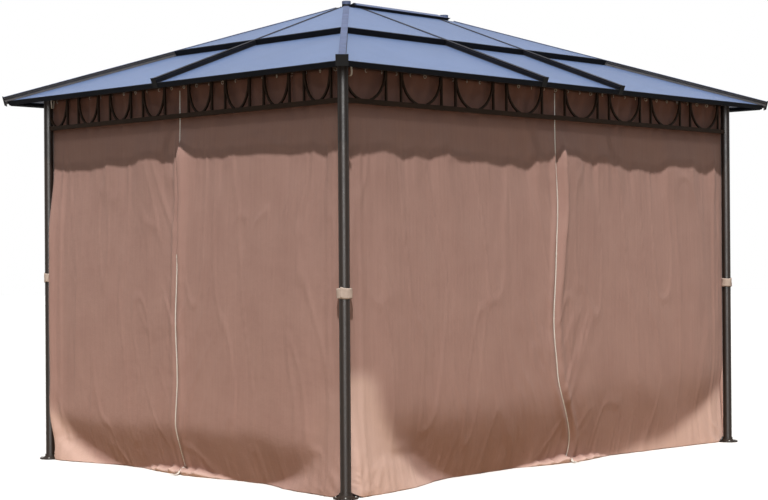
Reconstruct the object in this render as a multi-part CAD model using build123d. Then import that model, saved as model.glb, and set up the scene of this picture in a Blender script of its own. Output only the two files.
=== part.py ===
from build123d import *
import math
import os

# A hard-top garden gazebo: four round posts on bolted feet, an ornamental frieze on each side,
# a hipped roof of slotted beams with two tiers of sheet panels, and two curtains on each side.
# Millimetres, +Z up, +X along the ridge, the front at -Y, the origin on the ground at the middle.

# Roof outline, taken at the underside of the beams
roof_length = 3940
roof_width = 3030
roof_rise = 565
eave_height = 2230

# Roof beams, which share one slotted section
beam_height = 40
beam_lip = 2
beam_wall = 2
rafter_width = 38
rafter_core = 20
hip_width = 38
hip_core = 24
ridge_width = 60
ridge_core = 36
ridge_cap_width = 130
ridge_cap_rise = 16
trim_thickness = 1.2
purlin_core = 14
purlin_lip_reach = 10
purlin_rise_share = 0.5
rafter_to_hub_gap = 8

# Eave beams
fascia_wall = 3
fascia_drop = 17
eave_box_depth = 24
eave_lip_reach = 12

# Caps that close the beam ends at the eave
end_cap_thickness = 4
hip_cap_overhang = 14
rafter_cap_overhang = 2
end_cap_rise = 2

# Hubs at the two ends of the ridge
hub_margin = 3
hub_drop = 14
hub_sink = 7
hub_crown_diameter = 56
hub_crown_rise = 2

# Roof sheets
panel_thickness = 6
panel_play = 0.6

# Posts, the seats between posts and hips, and the feet
post_diameter = 57
post_wall = 1.6
post_inset = 190
seat_height = 36
foot_diameter = 132
foot_rim = 8
foot_floor = 5
foot_collar_wall = 4.5
foot_collar_height = 30
foot_flare = 12
foot_bolt_spacing = 74
foot_bolt_hole = 10

# Frieze panels
frieze_rise = 8
frieze_height = 210
frieze_rail = 25
frieze_bar = 10
frieze_bar_depth = 12
frieze_pair_gap = 115
frieze_middle_gap = 215
frieze_end_gap = 15
frieze_shift = 45
arcs_per_half = 4
arc_chords = 14

# Curtain tracks
track_width = 16
track_height = 20
track_wall = 2
track_slot = 5
track_end_gap = 6

# Curtains
curtain_thickness = 5
curtain_post_gap = 14
curtain_zip_gap = 3
curtain_hem_height = 3
curtain_belly = 34
curtain_belly_share = 0.45
curtain_tuck = 40
curtain_tuck_share = 0.04
curtain_hem_flare = 22
foot_clearance = 3

# Tie bands round the posts
tie_height = 1032
tie_width = 64
tie_thickness = 3
back_left_tie_raise = 70

# Clearance where pieces seat, and the overrun of every cut
fit = 0.3
overrun = 60

# Sizes that follow from the ones above
roof_run = roof_width / 2
ridge_length = roof_length - roof_width
ridge_height = eave_height + roof_rise
pitch = math.atan2(roof_rise, roof_run)
slope_length = math.hypot(roof_run, roof_rise)
hip_length = math.hypot(roof_run * math.sqrt(2), roof_rise)
hip_lean = math.atan2(roof_rise, roof_run * math.sqrt(2))
hip_fall = math.acos(math.cos(pitch) ** 2) / 2
slot = panel_thickness + panel_play
lower_panel_level = beam_lip
upper_panel_level = beam_height - beam_lip - slot

# The hub is just wide enough for the hips and the end rafter to part at its rim
fan_angle = math.atan2(roof_run, slope_length)
fan_reach = (hip_width / 2 + rafter_width / 2 * math.cos(fan_angle)) / math.sin(fan_angle)
fan_plan_reach = fan_reach * math.cos(pitch) + beam_height * math.sin(pitch)
hub_radius = math.hypot(rafter_width / 2, fan_plan_reach) + hub_margin
hub_neck = ridge_height + beam_height / math.cos(pitch)
rafter_offset = ridge_length / 2 - hub_radius - rafter_width / 2 - rafter_to_hub_gap

# The hips' cores hang low enough for the seats on the posts to clear the sheets
post_radius = post_diameter / 2
hip_underside = -post_radius * math.tan(hip_fall)
post_x = roof_length / 2 - post_inset
post_y = roof_width / 2 - post_inset
hip_height_at_post = eave_height + post_inset * math.tan(pitch)
seat_top = hip_height_at_post + (hip_underside - fit) / math.cos(hip_lean)
post_top = seat_top - seat_height
frieze_top = post_top + frieze_rise
frieze_bottom = frieze_top - frieze_height
track_offset = frieze_rail / 2 + track_width / 2
track_bottom = frieze_top - track_height

# Turn about Z that carries the front onto each side, and the signs of X and Y at each corner
sides = {"front": 0, "right": 90, "back": 180, "left": 270}
corners = {"front_left": (-1, -1), "front_right": (1, -1), "back_left": (-1, 1), "back_right": (1, 1)}


def is_long(side):
    return side in ("front", "back")


def post_plane_distance(side):
    return post_y if is_long(side) else post_x


def half_span(side):
    return post_x if is_long(side) else post_y


def half_eave(side):
    return (roof_length if is_long(side) else roof_width) / 2


def slope_location(side):
    """Place of a slope's own frame: X along the eave, Y up the slope, Z out of it."""
    reach = (roof_width if is_long(side) else roof_length) / 2
    lean = (0, -math.sin(pitch), math.cos(pitch))
    plane = Plane(origin=(0, -reach, eave_height), x_dir=(1, 0, 0), z_dir=lean)
    return Rot(0, 0, sides[side]) * plane.location


def span_box(low_x, high_x, low_y, high_y):
    """A flat rectangle given by its edges."""
    middle = ((low_x + high_x) / 2, (low_y + high_y) / 2)
    return Pos(*middle) * Rectangle(high_x - low_x, high_y - low_y)


# The slotted beam section
def leaning_reach(half_width, level, fall):
    """Length of a lip at a level, so that its end is half a width from the beam's upright middle."""
    return (half_width - level * math.sin(fall)) / math.cos(fall)


def beam_section(width, core, fall, underside):
    """A hollow core with four lips a side, which fall away with the two sheets that they hold."""
    lip_levels = [0, beam_lip + slot, upper_panel_level - beam_lip, beam_height - beam_lip]
    core_top = beam_height * math.cos(fall)
    section = span_box(-core / 2, core / 2, underside, core_top)
    for side_sign in (1, -1):
        for level in lip_levels:
            reach = leaning_reach(width / 2, level + beam_lip, fall)
            lip = span_box(0, side_sign * reach, level, level + beam_lip)
            section += Rot(0, 0, -side_sign * math.degrees(fall)) * lip
    half_hollow = core / 2 - beam_wall
    hollow = span_box(-half_hollow, half_hollow, underside + beam_wall, core_top - beam_wall)
    return section - hollow


def rafter_solid(length):
    section = beam_section(rafter_width, rafter_core, 0, 0)
    return extrude(Plane.XZ * section, amount=length, dir=(0, 1, 0))


def hub_space():
    """Upright cylinders that the beams and sheets stop at, one at each end of the ridge."""
    height = 2 * (roof_rise + eave_height)
    column = Cylinder(hub_radius + fit, height)
    return [Pos(end * ridge_length / 2, 0, ridge_height) * column for end in (-1, 1)]


def clear_of_hubs(shape):
    for space in hub_space():
        shape = shape - space
    return shape


def clear_of_hips(shape):
    """Cuts a shape back to the upright sides of the hips."""
    slab = Box(2 * hip_length, hip_width + 2 * fit, 2 * eave_height)
    for sign_x, sign_y in corners.values():
        eave_corner = Pos(sign_x * roof_length / 2, sign_y * roof_width / 2, eave_height)
        turn = Rot(0, 0, math.degrees(math.atan2(sign_y, sign_x)))
        shape = shape - eave_corner * turn * slab
    return shape


# Roof beams
def corner_plane(corner):
    """Plane across a hip at its eave corner, with its normal up the hip."""
    sign_x, sign_y = corners[corner]
    corner_point = (sign_x * roof_length / 2, sign_y * roof_width / 2, eave_height)
    up_hip = (-sign_x * roof_run, -sign_y * roof_run, roof_rise)
    across = (sign_y, -sign_x, 0)
    return Plane(origin=corner_point, x_dir=across, z_dir=up_hip)


def hip(corner):
    section = beam_section(hip_width, hip_core, hip_fall, hip_underside)
    beam = extrude(corner_plane(corner) * section, amount=hip_length)
    return clear_of_hubs(beam)


def over_strip(line):
    """Section of a thin strip that lies over a line of points."""
    top = [(across, height + trim_thickness) for across, height in reversed(line)]
    return make_face(Polyline(*line, *top, close=True))


def ridge_start():
    return Plane(origin=(-ridge_length / 2, 0, ridge_height), x_dir=(0, 1, 0), z_dir=(1, 0, 0))


def roof_trim():
    """Thin bright strips over the hips and the ridge, and round crowns on the hubs."""
    crest = beam_height * math.cos(hip_fall) + fit
    flat_half = hip_core / 2
    edge_half = hip_width / 2
    edge = crest - (edge_half - beam_height * math.sin(hip_fall)) * math.tan(hip_fall)
    hip_strip = over_strip([(-edge_half, edge), (-flat_half, crest), (flat_half, crest), (edge_half, edge)])
    pieces = [extrude(corner_plane(corner) * hip_strip, amount=hip_length) for corner in corners]
    peak = (beam_height + ridge_cap_rise) / math.cos(pitch) + fit
    cap_half = ridge_cap_width / 2
    cap_edge = peak - cap_half * math.tan(pitch)
    ridge_strip = over_strip([(-cap_half, cap_edge), (0, peak), (cap_half, cap_edge)])
    pieces.append(extrude(ridge_start() * ridge_strip, amount=ridge_length))
    crown_top = ridge_height + peak + trim_thickness + hub_crown_rise
    crown = upright(hub_crown_diameter / 2, hub_neck, crown_top)
    crowns = [Pos(end * ridge_length / 2, 0, 0) * crown for end in (-1, 1)]
    return [clear_of_hubs(piece) for piece in pieces] + crowns


def ridge():
    """A slotted beam under a folded cap, whose edges hang over the upper sheets."""
    underside = -ridge_width / 2 * math.sin(pitch)
    section = beam_section(ridge_width, ridge_core, pitch, underside)
    cap_level = beam_height + ridge_cap_rise
    cap_under = cap_level - beam_lip
    stem_top = (cap_level - beam_lip / 2 - ridge_core / 2 * math.sin(pitch)) / math.cos(pitch)
    stem = span_box(-ridge_core / 2, ridge_core / 2, underside, stem_top)
    stem_half = ridge_core / 2 - beam_wall
    stem -= span_box(-stem_half, stem_half, underside - overrun, beam_height * math.cos(pitch))
    section += stem
    for side_sign in (1, -1):
        reach = leaning_reach(ridge_cap_width / 2, cap_level, pitch)
        fold = span_box(-side_sign * cap_level * math.tan(pitch), side_sign * reach, cap_under, cap_level)
        fold += span_box(side_sign * (reach - beam_lip), side_sign * reach, beam_height + fit, cap_level)
        section += Rot(0, 0, -side_sign * math.degrees(pitch)) * fold
    return clear_of_hubs(extrude(ridge_start() * section, amount=ridge_length))


def ridge_hubs():
    """Turned hubs that fall away with the hips round a short neck."""
    bottom = ridge_height - hub_drop
    neck_radius = hub_crown_diameter / 2
    peak = ridge_height + beam_height / math.cos(hip_fall) - hub_sink
    rim = peak - hub_radius * math.tan(hip_lean)
    shoulder = peak - neck_radius * math.tan(hip_lean)
    outline = Polyline(
        (0, bottom), (hub_radius, bottom), (hub_radius, rim), (neck_radius, shoulder),
        (neck_radius, hub_neck), (0, hub_neck), close=True,
    )
    hub = revolve(make_face(Plane.XZ * outline), axis=Axis.Z)
    return [Pos(end * ridge_length / 2, 0, 0) * hub for end in (-1, 1)]


def rafter_places(side):
    """Where the rafters stand along a slope: two to the ridge on the long sides, one to a hub on the ends."""
    return (-rafter_offset, rafter_offset) if is_long(side) else (0,)


def rafters(side):
    length = slope_length - ridge_width / 2 / math.cos(pitch) - fit if is_long(side) else slope_length
    beam = rafter_solid(length)
    return [clear_of_hubs(slope_location(side) * Pos(place, 0, 0) * beam) for place in rafter_places(side)]


# Bays between the beams of one slope, as flat outlines in the slope's own frame
def hip_line(side, inset, level):
    """Distance from the slope's middle to a line parallel to the hip, set in from it."""
    stretch = math.hypot(1, math.cos(pitch))
    return half_eave(side) - level * math.cos(pitch) - inset * stretch


def outer_bay(side, low, high, hip_inset, rafter_inset, hand):
    rafter_line = (rafter_offset if is_long(side) else 0) + rafter_inset
    foot = hip_line(side, hip_inset, low)
    meeting_level = low + (foot - rafter_line) / math.cos(pitch)
    points = [(rafter_line, low), (foot, low)]
    if meeting_level > high:
        points += [(hip_line(side, hip_inset, high), high), (rafter_line, high)]
    else:
        points += [(rafter_line, meeting_level)]
    return make_face(Polyline(*[(hand * across, up) for across, up in points], close=True))


def bays(side, low, high, hip_inset, rafter_inset):
    outlines = [outer_bay(side, low, high, hip_inset, rafter_inset, hand) for hand in (-1, 1)]
    if is_long(side):
        half = rafter_offset - rafter_inset
        outlines.append(span_box(-half, half, low, high))
    return outlines


def between_beams(side, section):
    """Lengths of one section, given up the slope and out of it, cut to fit each bay."""
    reach = half_eave(side)
    run = extrude(Plane.YZ * section, amount=2 * reach)
    run = Pos(-reach, 0, 0) * run
    outlines = bays(side, -overrun, slope_length, 0, rafter_width / 2 + fit)
    pieces = []
    for outline in outlines:
        block = Pos(0, 0, -overrun) * extrude(outline, amount=2 * overrun)
        pieces.append(clear_of_hips(slope_location(side) * (run & block)))
    return pieces


def purlin_section():
    """A tall core that holds the lower sheet low on one side and the upper sheet high on the other."""
    middle = slope_length * purlin_rise_share
    low_face = middle - purlin_core / 2
    high_face = middle + purlin_core / 2
    section = span_box(low_face, high_face, 0, beam_height)
    for level in (0, beam_lip + slot):
        section += span_box(low_face - purlin_lip_reach, low_face, level, level + beam_lip)
    for level in (upper_panel_level - beam_lip, beam_height - beam_lip):
        section += span_box(high_face, high_face + purlin_lip_reach, level, level + beam_lip)
    hollow = span_box(low_face + beam_wall, high_face - beam_wall, beam_wall, beam_height - beam_wall)
    return section - hollow


def eave_section():
    """A box under a slot that takes the lower edge of the sheets, behind a plain fascia."""
    slot_top = 2 * beam_lip + slot
    section = span_box(0, fascia_wall, -fascia_drop, slot_top)
    section += span_box(0, eave_box_depth, -fascia_drop, beam_lip)
    section += span_box(0, fascia_wall + eave_lip_reach, beam_lip + slot, slot_top)
    hollow = span_box(fascia_wall, eave_box_depth - beam_wall, -fascia_drop + beam_wall, 0)
    return section - hollow


def roof_panels(side):
    """Lower sheets in the low slots and upper sheets in the high ones, so that the tiers overlap."""
    rafter_inset = rafter_core / 2 + panel_play
    purlin_middle = slope_length * purlin_rise_share
    low_edge = fascia_wall + panel_play
    step = purlin_core / 2 + panel_play
    high_edge = slope_length - leaning_reach(ridge_core / 2, upper_panel_level, pitch) - panel_play
    tiers = [
        (low_edge, purlin_middle - step, lower_panel_level),
        (purlin_middle + step, high_edge, upper_panel_level),
    ]
    pieces = []
    for low, high, level in tiers:
        hip_inset = leaning_reach(hip_core / 2, level, hip_fall) + panel_play
        for outline in bays(side, low, high, hip_inset, rafter_inset):
            sheet = Pos(0, 0, level) * extrude(outline, amount=panel_thickness)
            pieces.append(clear_of_hubs(slope_location(side) * sheet))
    return pieces


def end_caps():
    """Plates that close the hips and rafters at the eave, deep enough to cover the fascia's ends."""
    pieces = []
    low = -fascia_drop
    high = beam_height + end_cap_rise
    for corner in corners:
        half = hip_width / 2 + hip_cap_overhang
        plate = extrude(corner_plane(corner) * span_box(-half, half, low, high), amount=-end_cap_thickness)
        pieces.append(plate)
    half = rafter_width / 2 + rafter_cap_overhang
    for side in sides:
        for place in rafter_places(side):
            plate = extrude(Plane.XZ * span_box(-half, half, low, high), amount=end_cap_thickness)
            pieces.append(slope_location(side) * Pos(place, 0, 0) * plate)
    return pieces


# Posts, their seats under the hips and their feet
def at_corner(corner, height):
    sign_x, sign_y = corners[corner]
    return Pos(sign_x * post_x, sign_y * post_y, height)


def upright(radius, low, high):
    return Pos(0, 0, (low + high) / 2) * Cylinder(radius, high - low)


def post(corner):
    tube = upright(post_radius, foot_floor, post_top)
    bore = upright(post_radius - post_wall, foot_floor - overrun, post_top + overrun)
    return at_corner(corner, 0) * (tube - bore)


def post_seats():
    """Plugs that stand on the posts, with their tops cut to the lean of the hips."""
    pieces = []
    for corner in corners:
        plug = at_corner(corner, 0) * upright(post_radius, post_top, seat_top + overrun)
        across = corner_plane(corner)
        lift = across.y_dir * (hip_underside - fit)
        seat_plane = Plane(origin=across.origin + lift, x_dir=across.x_dir, z_dir=across.y_dir)
        pieces.append(split(plug, bisect_by=seat_plane, keep=Keep.BOTTOM))
    return pieces


def foot(corner):
    """A turned flange that rises in a cone to a collar round the post, with four bolt holes."""
    rim_radius = foot_diameter / 2
    bore_radius = post_radius + fit
    collar_radius = bore_radius + foot_collar_wall
    outline = Polyline(
        (0, 0), (rim_radius, 0), (rim_radius, foot_rim), (collar_radius + foot_flare, foot_rim),
        (collar_radius, foot_rim + foot_flare), (collar_radius, foot_collar_height),
        (bore_radius, foot_collar_height), (bore_radius, foot_floor), (0, foot_floor),
        close=True,
    )
    flange = revolve(Plane.XZ * make_face(outline), axis=Axis.Z)
    hole = Cylinder(foot_bolt_hole / 2, 2 * overrun)
    for place in GridLocations(foot_bolt_spacing, foot_bolt_spacing, 2, 2):
        flange -= place * hole
    return at_corner(corner, 0) * flange


# Frieze panels with U-shaped arcs between pairs of uprights
def half_ellipse(half_width, drop):
    """Chords of the lower half of an ellipse, from one end to the other."""
    turns = [math.pi * step / arc_chords for step in range(arc_chords + 1)]
    return [(-half_width * math.cos(turn), -drop * math.sin(turn)) for turn in turns]


def scallop(half_width, drop):
    """A flat bar bent along the lower half of an ellipse."""
    outer = half_ellipse(half_width, drop)
    inner = half_ellipse(half_width - frieze_bar, drop - frieze_bar)
    return make_face(Polyline(*outer, *reversed(inner), close=True))


def frieze(side):
    half = half_span(side)
    clear_half = half - post_radius - frieze_end_gap
    bays_length = clear_half - frieze_middle_gap / 2 - (arcs_per_half - 1) * frieze_pair_gap
    arc_width = bays_length / arcs_per_half
    bars_low = frieze_bottom + frieze_rail / 2
    bars_high = frieze_top - frieze_rail / 2
    arc_top = frieze_top - frieze_rail
    arc_drop = arc_top - frieze_bottom - frieze_rail / 2
    arc = scallop(arc_width / 2, arc_drop)
    upright_bar = span_box(-frieze_bar / 2, frieze_bar / 2, bars_low, bars_high)
    bars = []
    for index in range(arcs_per_half):
        inner_edge = frieze_middle_gap / 2 + index * (arc_width + frieze_pair_gap)
        for hand in (-1, 1):
            middle = hand * (inner_edge + arc_width / 2) - frieze_shift
            bars.append(Pos(middle, arc_top) * arc)
            for edge in (inner_edge, inner_edge + arc_width):
                bars.append(Pos(hand * edge - frieze_shift, 0) * upright_bar)
    lattice = Sketch() + bars
    panel = extrude(Plane.XZ * lattice, amount=frieze_bar_depth / 2, both=True)
    for level in (frieze_bottom, frieze_top - frieze_rail):
        panel += Pos(0, 0, level + frieze_rail / 2) * Box(2 * half, frieze_rail, frieze_rail)
    for end in (-1, 1):
        panel -= Pos(end * half, 0, 0) * upright(post_radius + fit, 0, 2 * frieze_top)
    return Rot(0, 0, sides[side]) * Pos(0, -post_plane_distance(side), 0) * panel


# Curtain tracks on the inner face of the friezes' top rails
def curtain_tracks():
    pieces = []
    for side in sides:
        half = half_span(side) - post_radius - track_end_gap
        section = Rectangle(track_width, track_height)
        section -= Rectangle(track_width - 2 * track_wall, track_height - 2 * track_wall)
        section -= Pos(0, -track_height / 2) * Rectangle(track_slot, 2 * track_wall)
        bar = Pos(-half, 0, 0) * extrude(Plane.YZ * section, amount=2 * half)
        inward = track_offset - post_plane_distance(side)
        pieces.append(Rot(0, 0, sides[side]) * Pos(0, inward, frieze_top - track_height / 2) * bar)
    return pieces


# Curtains, which hang from the tracks, belly outward and tuck in above the hem
def curtain_line(side, shift):
    """One face of the cloth, seen along the side: straight behind the frieze, then bowed, then flared."""
    plane_y = -post_plane_distance(side) + shift
    top = track_bottom - fit
    height = top - curtain_hem_height
    belly_height = curtain_hem_height + height * curtain_belly_share
    tuck_height = curtain_hem_height + height * curtain_tuck_share
    head = (plane_y + track_offset, top)
    rail = (plane_y + track_offset, frieze_bottom)
    belly = (plane_y - curtain_belly, belly_height)
    tuck = (plane_y + curtain_tuck, tuck_height)
    hem = (plane_y + curtain_tuck - curtain_hem_flare, curtain_hem_height)
    return [Line(head, rail), ThreePointArc(rail, belly, tuck), Line(tuck, hem)], head, hem


def curtain_face(side):
    outer, outer_head, outer_hem = curtain_line(side, -curtain_thickness / 2)
    inner, inner_head, inner_hem = curtain_line(side, curtain_thickness / 2)
    edges = outer + inner + [Line(outer_head, inner_head), Line(outer_hem, inner_hem)]
    return Plane.YZ * make_face(edges)


def curtain(side, hand):
    start = curtain_zip_gap / 2
    end = half_span(side) - post_radius - curtain_post_gap
    sheet = Pos(start, 0, 0) * extrude(curtain_face(side), amount=end - start)
    foot_room = upright(foot_diameter / 2 + foot_clearance, -overrun, foot_collar_height + foot_clearance)
    sheet -= Pos(half_span(side), -post_plane_distance(side), 0) * foot_room
    if hand < 0:
        sheet = mirror(sheet, about=Plane.YZ)
    return Rot(0, 0, sides[side]) * sheet


def tie_bands():
    pieces = []
    for corner in corners:
        low = tie_height + (back_left_tie_raise if corner == "back_left" else 0)
        band = upright(post_radius + fit + tie_thickness, low, low + tie_width)
        bore = upright(post_radius + fit, low - overrun, low + tie_width + overrun)
        pieces.append(at_corner(corner, 0) * (band - bore))
    return pieces


# Every named piece, with the halves of each side as seen from outside it
def gazebo():
    nodes = {}
    for corner in corners:
        nodes["post_" + corner] = post(corner)
        nodes["foot_" + corner] = foot(corner)
        nodes["hip_" + corner] = hip(corner)
    for side in sides:
        nodes["eave_" + side] = between_beams(side, eave_section())
        nodes["purlins_" + side] = between_beams(side, purlin_section())
        nodes["rafters_" + side] = rafters(side)
        nodes["roof_panels_" + side] = roof_panels(side)
        nodes["frieze_" + side] = frieze(side)
        for hand, half in ((-1, "left"), (1, "right")):
            nodes[side + "_curtain_" + half + "_half"] = curtain(side, hand)
    nodes["roof_trim"] = roof_trim()
    nodes["ridge"] = ridge()
    nodes["ridge_hubs"] = ridge_hubs()
    nodes["beam_end_caps"] = end_caps()
    nodes["post_seats"] = post_seats()
    nodes["curtain_tracks"] = curtain_tracks()
    nodes["tie_bands"] = tie_bands()
    return nodes


os.makedirs("parts", exist_ok=True)
for name, shape in gazebo().items():
    solid = Compound(children=shape) if isinstance(shape, list) else shape
    export_step(solid, "parts/" + name + ".step")
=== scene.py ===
"""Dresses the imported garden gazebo: painted frame, ribbed roof sheets, hung curtains with their zips,
hooks and ties, foot bolts, and a plain pale stage."""

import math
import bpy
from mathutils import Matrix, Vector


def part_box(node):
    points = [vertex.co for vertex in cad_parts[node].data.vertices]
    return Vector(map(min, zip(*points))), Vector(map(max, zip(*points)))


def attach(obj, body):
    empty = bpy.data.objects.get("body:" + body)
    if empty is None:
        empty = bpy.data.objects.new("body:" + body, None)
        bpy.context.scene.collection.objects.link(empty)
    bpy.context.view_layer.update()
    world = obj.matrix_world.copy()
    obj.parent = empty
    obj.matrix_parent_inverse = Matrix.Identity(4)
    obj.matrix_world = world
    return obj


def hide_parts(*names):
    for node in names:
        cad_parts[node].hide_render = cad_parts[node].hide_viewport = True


bl_info = {
    "name": "Garden Gazebo Dressing",
    "version": (1, 0, 0),
    "blender": (4, 5, 0),
    "location": "View3D > Sidebar > Gazebo",
    "description": "Finishes, curtains, zips, hooks, ties and a stage for a hard-top garden gazebo",
    "category": "Object",
}

import bpy
import numpy as np
from mathutils import Matrix, Vector

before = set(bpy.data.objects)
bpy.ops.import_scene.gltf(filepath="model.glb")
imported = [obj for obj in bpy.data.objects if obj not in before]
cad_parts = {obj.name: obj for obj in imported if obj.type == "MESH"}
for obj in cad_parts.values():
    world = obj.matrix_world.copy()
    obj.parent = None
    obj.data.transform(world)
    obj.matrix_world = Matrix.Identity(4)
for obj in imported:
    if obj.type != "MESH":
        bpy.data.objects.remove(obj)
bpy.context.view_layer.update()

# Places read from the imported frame, in metres
post_low, post_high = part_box("post_front_right")
post_x = (post_low.x + post_high.x) / 2
post_y = -(post_low.y + post_high.y) / 2
post_radius = (post_high.x - post_low.x) / 2
frieze_low, frieze_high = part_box("frieze_front")
frieze_depth = frieze_high.y - frieze_low.y
rail_low = frieze_low.z
track_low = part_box("curtain_tracks")[0].z
tie_low, tie_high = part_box("tie_bands")
foot_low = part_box("foot_front_right")[0].z

# Width of a tie before it is creased
tie_width = 0.064

# Turn about Z, in degrees, that carries the front onto each side
sides = {"front": 0, "right": 90, "back": 180, "left": 270}

# Signs of the two halves along a side, and of the corners along X and Y
hands = {"left": -1, "right": 1}
corners = {"front_left": (-1, -1), "front_right": (1, -1), "back_left": (-1, 1), "back_right": (1, 1)}

# How each zip hangs: how far off the middle of its side, how far it bows at half height, how far its foot is
# dragged along, and the height of its slider
zip_shifts = {"front": -0.01, "right": 0.015, "back": -0.01, "left": -0.04}
zip_bows = {"front": -0.055, "right": 0.02, "back": -0.02, "left": 0.0}
zip_drags = {"front": 0.21, "right": -0.08, "back": 0.07, "left": -0.045}
slider_heights = {"front": 1.27, "right": 0.95, "back": 1.45, "left": 1.27}

# How far each side's cloth is blown out, and how softly it starts to draw in above the hem
billows = {"front": 0.034, "right": 0.040, "back": 0.030, "left": 0.036}
tuck_softness = {"front": 0.055, "right": 0.03, "back": 0.035, "left": 0.024}

# How each half hangs, as seen from outside: the height where it starts to draw in, how steeply it does so,
# and how much higher it starts by the post
tucks = {
    ("front", "left"): {"start": 0.37, "slope": 0.45, "rise": 0.0},
    ("front", "right"): {"start": 0.43, "slope": 0.29, "rise": 0.05},
    ("right", "left"): {"start": 0.36, "slope": 0.36, "rise": 0.0},
    ("right", "right"): {"start": 0.33, "slope": 0.34, "rise": 0.08},
    ("back", "left"): {"start": 0.34, "slope": 0.35, "rise": 0.0},
    ("back", "right"): {"start": 0.38, "slope": 0.32, "rise": 0.10},
    ("left", "left"): {"start": 0.29, "slope": 0.41, "rise": 0.0},
    ("left", "right"): {"start": 0.27, "slope": 0.40, "rise": 0.0},
}

# Corners by a post that slope out to the ground: their reach along it and their height at the post
sloped_corners = {
    ("front", "right"): {"reach": 1.42, "top": 0.38},
    ("right", "right"): {"reach": 0.95, "top": 0.36},
    ("back", "right"): {"reach": 1.15, "top": 0.38},
}

# Corners by a post that hang straight down: their reach by the post and along the ground, how fast they
# narrow upwards, where their painted light ends, how pale that painted light makes them and how far their
# foot kicks out
straight_corners = {
    ("front", "left"): {"near": 0.10, "reach": 0.69, "fall": 0.31, "top": 0.68, "pale": 1.0, "kick": 0.05},
    ("right", "left"): {"near": 0.14, "reach": 0.60, "fall": 0.16, "top": 0.55, "pale": 0.5, "kick": 0.04},
    ("back", "left"): {"near": 0.10, "reach": 0.70, "fall": 0.20, "top": 0.60, "pale": 0.7, "kick": 0.05},
    ("left", "left"): {"near": 0.03, "reach": 0.43, "fall": 0.15, "top": 0.36, "pale": 1.0, "kick": 0.04},
    ("left", "right"): {"near": 0.22, "reach": 0.56, "fall": 0.075, "top": 0.62, "pale": 0.12, "kick": 0.03},
}

# The half whose edge the wind lifts round its post
gusty_half = ("left", "left")

# Heights between which wrinkles die away under a frieze
under_rail = (rail_low - 0.22, rail_low - 0.02)

# Kinds of wrinkle: how far they stand out, the width and height of the cells they come in, and which random
# draw they take. Some lean with the folds, slant, are crisp, or are creases of some sharpness. Start and end
# are the heights between which they come in, from the least share, and die away. Reach is how far they go
# from an edge
wrinkle_kinds = {
    "folds": {
        "depth": 0.010, "width": 0.17, "height": 1.6, "draw": 2, "leans": True,
        "start": (1.1, 1.75), "least": 0.40, "end": under_rail},
    "pleats": {
        "depth": 0.012, "width": 0.09, "height": 1.3, "draw": 10, "leans": True, "crisp": True,
        "start": (1.5, 1.82), "least": 0.10, "end": under_rail},
    "fine_pleats": {
        "depth": 0.004, "width": 0.036, "height": 0.8, "draw": 11, "leans": True, "crisp": True,
        "start": (1.5, 1.82), "least": 0.10, "end": under_rail},
    "lines": {
        "depth": 0.0036, "width": 0.13, "height": 0.8, "draw": 3, "leans": True, "sharpness": 9,
        "end": under_rail},
    "ripples": {
        "depth": 0.0075, "width": 0.036, "height": 0.9, "draw": 4, "crisp": True,
        "edge": "post", "reach": 0.16, "end": under_rail},
    "drags": {
        "depth": 0.013, "width": 0.11, "height": 0.5, "draw": 7, "slant": 0.45, "sharpness": 4,
        "edge": "zip", "reach": 0.16, "start": (0.10, 0.35), "end": (0.8, 1.25)},
    "puckers": {
        "depth": 0.004, "width": 0.05, "height": 0.06, "draw": 8, "edge": "zip", "reach": 0.06},
    "rumples": {
        "depth": 0.0035, "width": 0.075, "height": 0.6, "draw": 9, "sharpness": 3, "end": (0.05, 0.30)},
    "bunches": {
        "depth": 0.011, "width": 0.05, "height": 0.12, "draw": 12, "slant": -0.6, "sharpness": 3,
        "edge": "post", "reach": 0.12, "end": (0.08, 0.30)},
}

# Heights or distances, in metres, between which parts of the cloth's shape come in or fade out
fades = {
    "zip_wander": (1.6, 2.1), "zip_drag": (0.04, 0.56), "zip_ridge": (0.8, 1.6),
    "zip_ridge_top": (rail_low - 0.24, rail_low - 0.02), "zip_spread": (0, 0.05),
    "own_tuck": (0, 0.5), "strip": (0.16, 0.50), "flare": (0.10, 0.42),
    "kick": (0, 0.6), "kick_by_post": (0, 0.06), "corner_billow": (0.1, 0.75),
    "billow": (0, 1.25), "billow_by_post": (0, 0.35),
    "gust": (0.05, 0.34), "gust_top": (1.35, 1.95), "gust_by_post": (0, 0.03),
    "gathers": (1.95, 2.2), "slack": (1.97, 2.10), "slack_top": (2.15, 2.235),
    "free_of_zip": (0, 0.05), "free_of_post": (0, 0.04), "behind_rail": (rail_low - 0.05, rail_low - 0.012),
    # The last range here is where painted shade darkens the cloth behind a frieze and under its bottom rail.
    "beside_post": (0.005, 0.025), "painted_shade_by_frieze": (rail_low - 0.10, rail_low + 0.01),
}

# Where the random draws of each shape start on a side, and how far each half steps off from there
seeds = {"wrinkle": (5, 2), "hem": (15, 2), "strip": (21, 1), "tuck": (31, 1), "border": (41, 1)}

# Where the area that random heights cover starts, and its size, across and up, in metres
lattice_start = (-4, -1)
lattice_size = (12, 4)


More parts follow.
